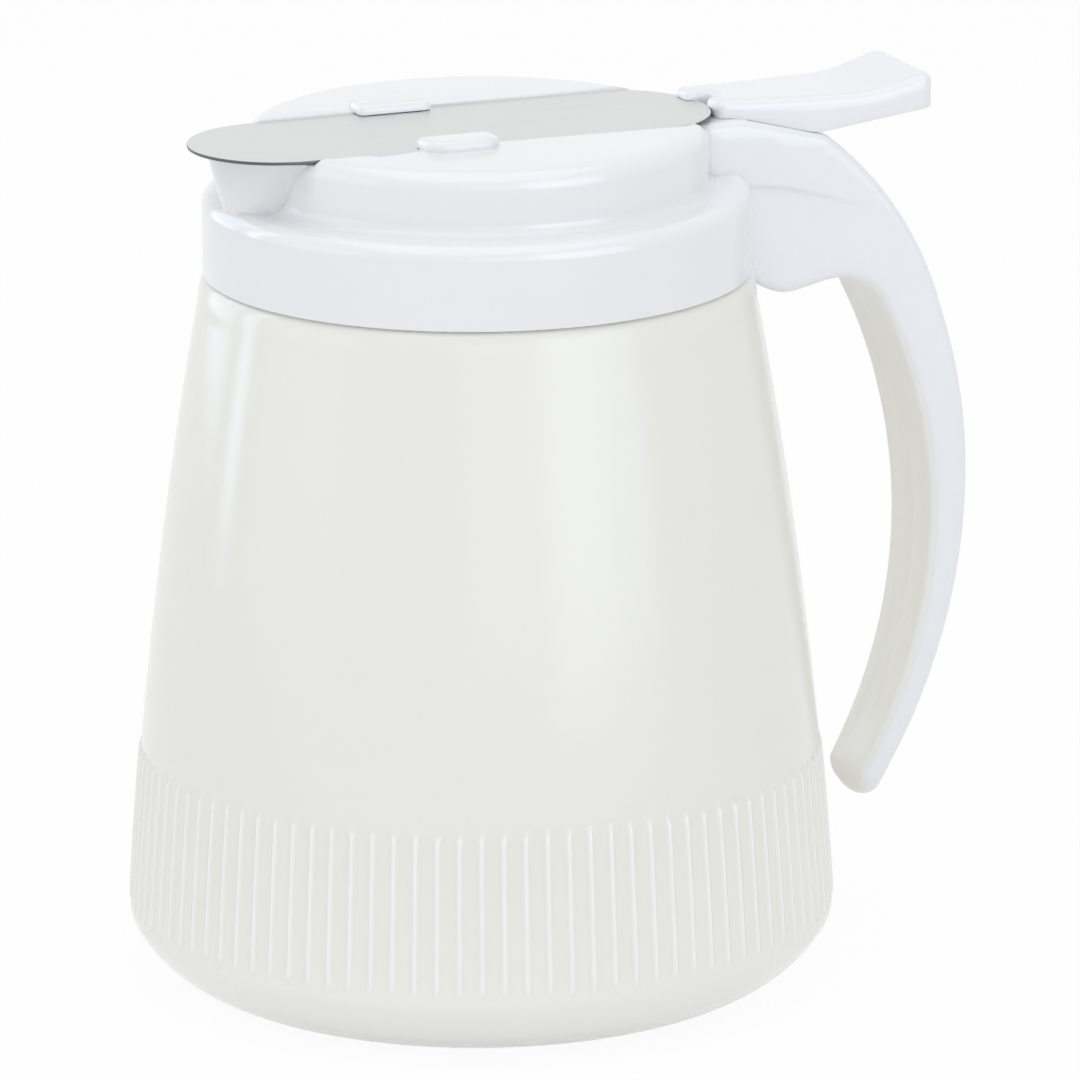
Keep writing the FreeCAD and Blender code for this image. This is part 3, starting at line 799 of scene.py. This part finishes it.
class SYRUP_OT_tabs(bpy.types.Operator):
    """Build the two guide tabs that hold the slide down"""

    bl_idname = "syrup.tabs"
    bl_label = "Guide tabs"

    def execute(self, context):
        finish = context.scene.syrup_finish
        s = context.scene.syrup_tabs
        material = moulded_plastic("tab_plastic", finish.lid, finish.gloss_roughness)
        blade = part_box("slide")[1]
        inner = blade.y - s.lap
        outer = inner + s.width
        end = s.start + s.length
        clearance, slope = 0.12 * MM, 0.04
        small, long, wide = 1.6 * MM, 4.4 * MM, 4.2 * MM  # how far the corners' curves reach
        outline = joined(
            corner((s.start, inner + small), (s.start, inner), (s.start + small, inner), 5),
            corner((end - small, inner), (end, inner), (end, inner + small), 5),
            corner((end, outer - wide), (end, outer), (end - long, outer), 8),
            corner((s.start + long, outer), (s.start, outer), (s.start, outer - wide), 8))
        for name, side in (("left_guide_tab", 1), ("right_guide_tab", -1)):
            tab = rounded_slab(
                name, material, thinned(outline, 0.9 * MM), lambda a, b, c: (a, side * b, c),
                lambda a, b: np.full(np.shape(a), blade.z + clearance),
                lambda a, b: blade.z + s.thickness + (b - inner) * slope,
                0.15 * MM, s.edge, 0.9 * MM)
            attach(tab, "server")
        return {"FINISHED"}


HANDLE_FOOT = 28.3 * MM
TIP_START, TIP_LENGTH, TIP_ROUNDING = 31.6 * MM, 3.4 * MM, 1.6 * MM
BULGE_START, BULGE_LENGTH = 33.0 * MM, 4.5 * MM
GRIP_TOP = 131.0 * MM
GRIP_CENTRE, GRIP_RADIUS = (-6.5 * MM, 82.0 * MM), 99.4 * MM  # a circle just behind the grip face


def handle_outline():
    """The handle's side view, as x and z: tower, saddle, back, end, grip, armpit, lobe, front."""
    points = joined(
        [(42.5, 166.2), (42.9, 166.7), (49.4, 166.7)],
        corner((49.4, 166.7), (51.0, 166.7), (52.6, 166.25), 3),
        corner((65.5, 163.0), (67.5, 162.7), (69.0, 162.0), 4),
        arc((69.0, 162.0), (93.0, 126.2), -70.0, 26)[1:],
        arc((93.0, 126.2), (82.2, 30.1), -114.4, 54)[1:],
        corner((82.2, 30.1), (81.6, 28.4), (79.7, 28.3), 6),
        corner((79.7, 28.3), (77.4, 28.5), (77.7, 31.8), 7),
        arc((77.7, 31.8), (81.1, 126.6), 98.3, 54)[1:],
        corner((81.1, 126.6), (78.6, 132.9), (72.5, 133.6), 9),
        [(71.1, 133.6), (68.6, 133.3), (66.7, 132.9), (64.9, 132.4), (63.1, 132.0), (61.6, 131.7)],
        [(60.2, 131.6), (58.7, 131.8), (57.3, 132.3), (55.8, 133.0), (54.4, 133.8), (52.6, 135.0)],
        corner((51.4, 135.8), (50.3, 136.6), (50.2, 138.4), 4),
        [(50.2, 145.0), (50.2, 150.6)],
        corner((50.2, 151.6), (50.2, 153.6), (48.6, 154.1), 4),
        corner((48.6, 154.1), (42.6, 154.4), (42.5, 159.6), 7))
    return thinned([(x * MM, z * MM) for x, z in points], 1.6 * MM)


CREASE = (
    (44.0, 154.4), (50.7, 153.8), (55.0, 153.4), (60.1, 152.6), (66.7, 150.7), (74.7, 148.2),
    (80.0, 146.4))
LEVER_TOP = (
    (40.0, 170.2), (46.0, 170.35), (55.0, 170.1), (66.0, 170.0), (75.0, 170.05), (78.5, 170.35),
    (81.5, 171.0), (84.5, 171.85), (87.5, 172.7), (90.4, 173.1), (95.0, 173.3))
LEVER_UNDER = (
    (40.0, 168.4), (46.5, 168.4), (46.8, 166.75), (49.4, 166.72), (52.6, 166.27), (65.5, 163.02),
    (67.4, 162.85), (90.4, 166.5), (95.0, 167.0))


def height_along(table, x):
    """Height at x, in metres, from a table of x and height in millimetres."""
    places, heights = np.array(table).T * MM
    return np.interp(x, places, heights)


def grip_relief(settings, outline, share):
    """How deep the grip face is hollowed: a shallow trough with lips and a thin rib in its middle."""
    x, z = outline.T
    across = abs(2 * share - 1)
    on_grip = (x > 77.0 * MM) & (x < 91.9 * MM) & (z < GRIP_TOP)
    inner = np.hypot(x - GRIP_CENTRE[0], z - GRIP_CENTRE[1]) < GRIP_RADIUS
    along = smooth_step(z, 31.0 * MM, 44.0 * MM) * (1 - smooth_step(z, 118.0 * MM, GRIP_TOP))
    trough = 1 - smooth_step(across, 0.62, 0.86)
    rib = (1 - smooth_step(across, 0.03, 0.2)) * smooth_step(z, 38.0 * MM, 52.0 * MM)
    rib = rib * (1 - smooth_step(z, 88.0 * MM, 100.0 * MM))
    depth = settings.trough * trough * along - settings.trough * 0.75 * rib * along
    return np.where(on_grip & inner, depth, 0.0)


def handle_half(settings, x, z):
    """Half the handle's width at a point of its side view."""
    taper = np.clip((settings.taper_height - z) / (settings.taper_height - HANDLE_FOOT), 0.0, 1.0)
    half = settings.half_width - (settings.half_width - settings.end_half) * taper
    tip = np.clip((TIP_START - z) / TIP_LENGTH, 0.0, 1.0)
    half = half - TIP_ROUNDING * (1 - np.sqrt(1 - tip * tip))
    step = smooth_step(z - height_along(CREASE, x), -0.35 * MM, 0.35 * MM)
    fade = 1 - smooth_step(x, 52.0 * MM, 79.0 * MM)
    below = 1 - smooth_step(x, 58.0 * MM, 82.0 * MM)
    return half - settings.crease * (1 - step) * below * 0.9 + settings.crease * 0.1 * step * fade


class SYRUP_OT_handle(bpy.types.Operator):
    """Build the curved handle"""

    bl_idname = "syrup.handle"
    bl_label = "Handle"

    def execute(self, context):
        finish = context.scene.syrup_finish
        settings = context.scene.syrup_handle
        # the handle's faces towards the jar get painted light
        material = moulded_plastic(
            "handle_plastic", finish.handle, finish.gloss_roughness + 0.04, finish.grip)
        outline = handle_outline()
        line = np.arange(45.0, 81.0, 0.6) * MM
        near_crease = [
            (x, height_along(CREASE, x) + lift * MM) for x in line for lift in (-0.7, -0.25, 0.25, 0.7)]

        def place(a, b, c):
            """Side view to object, with the free end let down in its middle."""
            near_end = min(1.0, max(0.0, (BULGE_START - b) / BULGE_LENGTH))
            return a, c, b - settings.end_bulge * near_end * (1 - (c / settings.end_half) ** 2)

        handle = rounded_slab(
            "curved_handle", material, outline, place,
            lambda a, b: -handle_half(settings, a, b), lambda a, b: handle_half(settings, a, b),
            settings.edge, settings.edge, 2.5 * MM, across=26,
            relief=lambda ring, share: grip_relief(settings, ring, share), extra=near_crease)
        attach(handle, "server")
        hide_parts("handle")
        return {"FINISHED"}


class SYRUP_OT_slide(bpy.types.Operator):
    """Build the steel slide"""

    bl_idname = "syrup.slide"
    bl_label = "Steel slide"

    def execute(self, context):
        low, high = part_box("slide")
        half = high.y
        nose = low.x + half
        tail = 38.0 * MM  # where the sides end and the curved tail begins
        reach = high.x - tail
        tail_arc = (half * half + reach * reach) / (2 * reach)
        side_end, arc_x, arc_y = tail - 1.5 * MM, tail + 0.9 * MM, half - 1.4 * MM
        outline = joined(
            [(nose - half * math.sin(t), half * math.cos(t)) for t in np.linspace(0, math.pi, 65)],
            [(nose + 20 * MM, -half), (side_end, -half)],
            corner((side_end, -half), (tail, -half), (arc_x, -arc_y), 4),
            arc((arc_x, -arc_y), (arc_x, arc_y), tail_arc, 24)[1:],
            corner((arc_x, arc_y), (tail, half), (side_end, half), 4)[1:],
            [(nose + 20 * MM, half)])
        slide = rounded_slab(
            "steel_slide", satin_steel(context.scene.syrup_finish), outline, lambda a, b, c: (a, b, c),
            lambda a, b: np.full(np.shape(a), low.z), lambda a, b: np.full(np.shape(a), high.z),
            0.16 * MM, 0.12 * MM, 6 * MM)
        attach(slide, "slider")
        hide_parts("slide")
        return {"FINISHED"}


def lever_outline(settings, low, high):
    """The lever's plan: two prongs with a notch between, flaring to the thumb pad."""
    front, end = low.x, high.x
    wide, narrow = high.y, settings.front_half
    notch = settings.notch_width / 2
    root = front + settings.notch_depth

    def side(x):
        return narrow + (wide - narrow) * (x - front) / (end - front)

    near = front + settings.near_setback
    r = 1.1 * MM
    pad = 3.2 * MM
    waist, flare = 60 * MM, 75 * MM
    tip = (front, side(front))
    return joined(
        corner((near, -notch - r), (near, -side(near)), (near + 1.6 * r, -side(near + r)), 5),
        [(waist, -side(waist)), (flare, -side(flare))],
        corner((end - pad, -side(end - pad)), (end, -wide), (end, -wide + pad), 7),
        corner((end, wide - pad), (end, wide), (end - pad, side(end - pad)), 7),
        [(flare, side(flare)), (waist, side(waist))],
        corner((front + 1.6 * r, side(front + r)), tip, (front, tip[1] - 1.4 * r), 5),
        corner((front, notch + r), (front, notch), (front + r, notch), 4),
        corner((root - r, notch), (root, notch), (root, notch - r), 4),
        corner((root, -notch + r), (root, -notch), (root - r, -notch), 4),
        corner((near + r, -notch), (near, -notch), (near, -notch - r), 4))


class SYRUP_OT_lever(bpy.types.Operator):
    """Build the thumb lever"""

    bl_idname = "syrup.lever"
    bl_label = "Thumb lever"

    def execute(self, context):
        finish = context.scene.syrup_finish
        settings = context.scene.syrup_lever
        low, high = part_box("thumb_lever")
        material = moulded_plastic("lever_plastic", finish.lever, finish.gloss_roughness + 0.02)
        outline = thinned(lever_outline(settings, low, high), 1.2 * MM)
        lever = rounded_slab(
            "flared_thumb_lever", material, outline, lambda a, b, c: (a, b, c),
            lambda a, b: height_along(LEVER_UNDER, a), lambda a, b: height_along(LEVER_TOP, a),
            0.25 * MM, settings.edge, 1.0 * MM, across=3)
        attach(lever, "slider")
        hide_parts("thumb_lever")
        return {"FINISHED"}


# ---- stage --------------------------------------------------------------------------------------
CAMERA_PLACE = Vector((-0.6207, -1.5604, 0.5417))
CAMERA_AHEAD = Vector((0.36299, 0.89423, -0.26192))
CAMERA_UP = Vector((0.10281, 0.24094, 0.96508))
JAR_MIDDLE = Vector((0.0, 0.0, 0.09))
SKY_COLOUR = (0.97, 0.985, 1.0, 1.0)
PANEL_HEIGHT = 1.3
GLOSS_PANELS = (  # name, azimuth from the camera's, width, strength
    ("right_gloss", 45, 0.8, 1.0), ("left_gloss", -104, 0.14, 1.7), ("edge_gloss", -128, 0.5, 0.8))


def soft_box(name, azimuth, elevation, distance, size, power, tint=WHITE[:3], gloss_only=False):
    """A rectangular lamp, size metres wide and high, that faces the jar.

    Its azimuth is counted from the camera's own. A gloss_only lamp adds nothing to dull surfaces."""
    out = -CAMERA_AHEAD.copy()
    out.z = 0.0
    out.normalize()
    side = Matrix.Rotation(math.radians(azimuth), 3, "Z") @ out
    place = JAR_MIDDLE + side * math.cos(math.radians(elevation)) * distance
    place.z += math.sin(math.radians(elevation)) * distance
    lamp = bpy.data.lights.new(name, "AREA")
    lamp.shape = "RECTANGLE"
    lamp.size, lamp.size_y = size
    lamp.energy = power
    lamp.color = tint
    holder = bpy.data.objects.new(name, lamp)
    turn = (JAR_MIDDLE - place).to_track_quat("-Z", "Y").to_matrix().to_4x4()
    holder.matrix_world = Matrix.Translation(place) @ turn
    holder.visible_diffuse = not gloss_only
    bpy.context.scene.collection.objects.link(holder)


class SYRUP_OT_stage(bpy.types.Operator):
    """Set the ground, the light and the camera"""

    bl_idname = "syrup.stage"
    bl_label = "Stage"

    def execute(self, context):
        s = context.scene.syrup_stage
        half = s.ground_size / 2
        ground = new_piece(
            "ground",
            [(-half, -half, 0.0), (half, -half, 0.0), (half, half, 0.0), (-half, half, 0.0)],
            [(0, 1, 2, 3)], lit_white("ground_white", s.ground, 1 - s.shadow))

        world = bpy.data.worlds.new("even_light")
        world.use_nodes = True
        world.node_tree.nodes.clear()
        sky = Tree(world.node_tree)
        even = sky.node(
            "ShaderNodeBackground", {}, {"Color": SKY_COLOUR, "Strength": s.world})["Background"]
        white = sky.node(
            "ShaderNodeBackground", {}, {"Color": WHITE, "Strength": 1.0})["Background"]
        mixed = sky.node(
            "ShaderNodeMixShader", {}, {0: sky.white_rays(), 1: even, 2: white})["Shader"]
        sky.node("ShaderNodeOutputWorld", {}, {"Surface": mixed})
        context.scene.world = world

        for name, azimuth, width, strength in GLOSS_PANELS:
            power = s.gloss * strength * width * PANEL_HEIGHT
            soft_box(name, azimuth, 8, 1.1, (width, PANEL_HEIGHT), power, s.gloss_tint, True)
        soft_box("front_fill", 22, 6, 1.3, (1.3, 0.9), s.fill)
        soft_box("left_fill", -72, 10, 1.2, (0.9, 0.9), s.left_fill)
        soft_box("top_softbox", 0, 80, 1.0, (1.2, 1.2), s.top)

        camera = bpy.data.cameras.new("camera")
        camera.sensor_width = 36.0
        camera.lens = s.lens
        camera.clip_end = 100.0
        right = CAMERA_AHEAD.cross(CAMERA_UP).normalized()
        up = right.cross(CAMERA_AHEAD).normalized()
        turn = Matrix((right, up, -CAMERA_AHEAD.normalized())).transposed()
        holder = bpy.data.objects.new("camera", camera)
        holder.matrix_world = Matrix.Translation(CAMERA_PLACE) @ turn.to_4x4()
        context.scene.collection.objects.link(holder)
        context.scene.camera = holder
        context.scene.view_settings.view_transform = "Standard"
        return {"FINISHED"}


# ---- panel and registration ---------------------------------------------------------------------
OPERATORS = (
    SYRUP_OT_jar, SYRUP_OT_lid, SYRUP_OT_tabs, SYRUP_OT_handle, SYRUP_OT_slide, SYRUP_OT_lever,
    SYRUP_OT_stage)
SETTINGS = {
    "syrup_jar": JarSettings, "syrup_tabs": TabSettings, "syrup_handle": HandleSettings,
    "syrup_lever": LeverSettings, "syrup_finish": FinishSettings, "syrup_stage": StageSettings}


class SYRUP_PT_panel(bpy.types.Panel):
    """Lists the pieces of the syrup dispenser"""

    bl_idname = "SYRUP_PT_panel"
    bl_label = "Syrup dispenser"
    bl_space_type = "VIEW_3D"
    bl_region_type = "UI"
    bl_category = "Syrup"

    def draw(self, context):
        for operator in OPERATORS:
            self.layout.operator(operator.bl_idname)
        for name, group in SETTINGS.items():
            box = self.layout.box()
            for prop in group.__annotations__:
                box.prop(getattr(context.scene, name), prop)


def register():
    for group in (*SETTINGS.values(), *OPERATORS, SYRUP_PT_panel):
        bpy.utils.register_class(group)
    for name, group in SETTINGS.items():
        setattr(bpy.types.Scene, name, bpy.props.PointerProperty(type=group))


def unregister():
    for name in SETTINGS:
        delattr(bpy.types.Scene, name)
    for group in reversed((*SETTINGS.values(), *OPERATORS, SYRUP_PT_panel)):
        bpy.utils.unregister_class(group)


def main():
    """Register the add-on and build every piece."""
    register()
    for operator in OPERATORS:
        group, name = operator.bl_idname.split(".")
        getattr(getattr(bpy.ops, group), name)()


if __name__ == "__main__":
    main()
